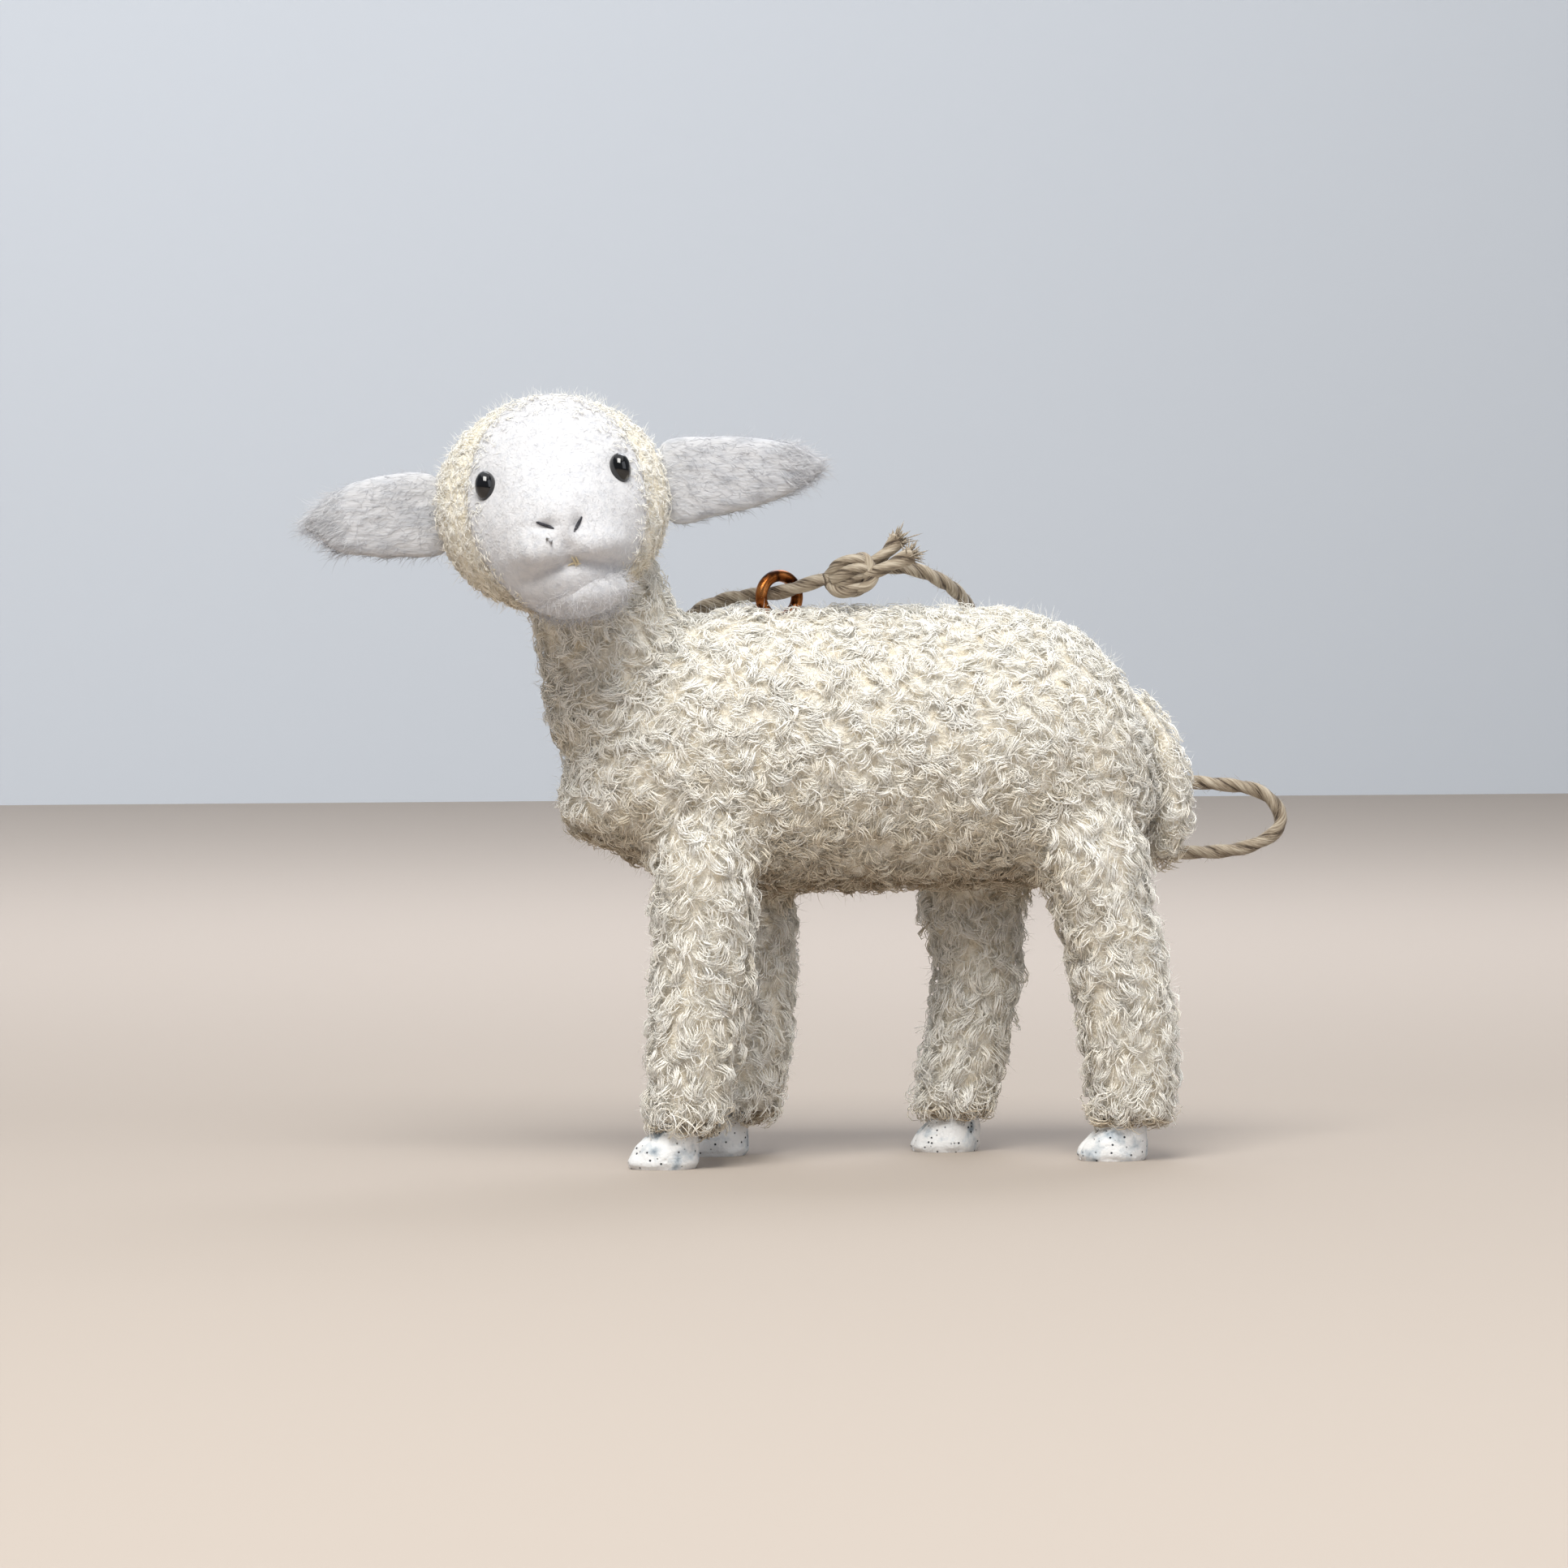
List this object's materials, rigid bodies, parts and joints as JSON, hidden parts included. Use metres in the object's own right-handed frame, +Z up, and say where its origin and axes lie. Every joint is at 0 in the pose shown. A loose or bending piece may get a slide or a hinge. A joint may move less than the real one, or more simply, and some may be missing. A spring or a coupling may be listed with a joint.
{
  "type": "fleece lamb ornament",
  "caption": "Small standing lamb ornament in curly fleece with felt ears and face, cast hooves, a screw eye in the back and a knotted twine loop.",
  "frame": {"origin": "on the ground under the middle of the lamb's box, at the height of the hoof soles, without the twine", "axes": "+Z up, the lamb walks towards -X, its left side is towards -Y"},
  "size_m": [0.1435, 0.0482, 0.1073],
  "materials": {
    "body_fleece": "curly boucle fleece, cream with beige depths",
    "hood_fleece": "short curly fleece, warm cream",
    "white_felt": "needle-felted white wool, fuzzy",
    "black_glass": "polished black bead",
    "dark_thread": "matt dark thread",
    "beige_thread": "matt beige thread",
    "plaster": "cast plaster with pits and blue-grey stains",
    "steel_wire": "drawn wire",
    "foam": "rigid foam",
    "batting": "cotton batting",
    "wood": "turned beech, raw",
    "coppered_steel": "copper-plated, darkened",
    "twine": "two-ply hemp twine with loose fibres"
  },
  "bodies": {
    "lamb": {"torso_core": "foam", "neck_core": "batting", "head_core": "foam", "spine_wire": "steel_wire", "anchor_plug": "wood", "screw_eye": "coppered_steel", "torso_cover": "body_fleece", "neck_cover": "body_fleece", "left_front_wire": "steel_wire", "left_front_wrapping": "batting", "left_front_cover": "body_fleece", "left_front_hoof": "plaster", "right_front_wire": "steel_wire", "right_front_wrapping": "batting", "right_front_cover": "body_fleece", "right_front_hoof": "plaster", "left_hind_wire": "steel_wire", "left_hind_wrapping": "batting", "left_hind_cover": "body_fleece", "left_hind_hoof": "plaster", "right_hind_wire": "steel_wire", "right_hind_wrapping": "batting", "right_hind_cover": "body_fleece", "right_hind_hoof": "plaster", "hood": "hood_fleece", "face_pad": "white_felt", "chin_pad": "white_felt", "left_eye": "black_glass", "right_eye": "black_glass", "nose_stitch": "dark_thread", "mouth_stitch": "beige_thread", "hang_cord": "twine", "cord_knot": "twine", "cord_end_a": "twine", "cord_end_b": "twine"},
    "left_ear": {"left_ear": "white_felt"},
    "right_ear": {"right_ear": "white_felt"},
    "tail": {"tail_cover": "body_fleece", "tail_stuffing": "batting"}
  },
  "joints": [
    {"name": "left_ear_flex", "type": "hinge", "parent": "lamb", "child": "left_ear", "pos_m": [-0.01179, -0.00302, 0.09499], "axis": [-0.1327, 0.0282, 0.9907], "range_deg": [-30, 30], "stiffness_Nm_per_rad": 0.0006},
    {"name": "right_ear_flex", "type": "hinge", "parent": "lamb", "child": "right_ear", "pos_m": [-0.04746, 0.00456, 0.09], "axis": [-0.1327, 0.0282, 0.9907], "range_deg": [-30, 30], "stiffness_Nm_per_rad": 0.0006},
    {"name": "tail_lift", "type": "hinge", "parent": "lamb", "child": "tail", "pos_m": [0.05485, 0.00473, 0.0666], "axis": [0, -1, 0], "range_deg": [0, 60]}
  ]
}
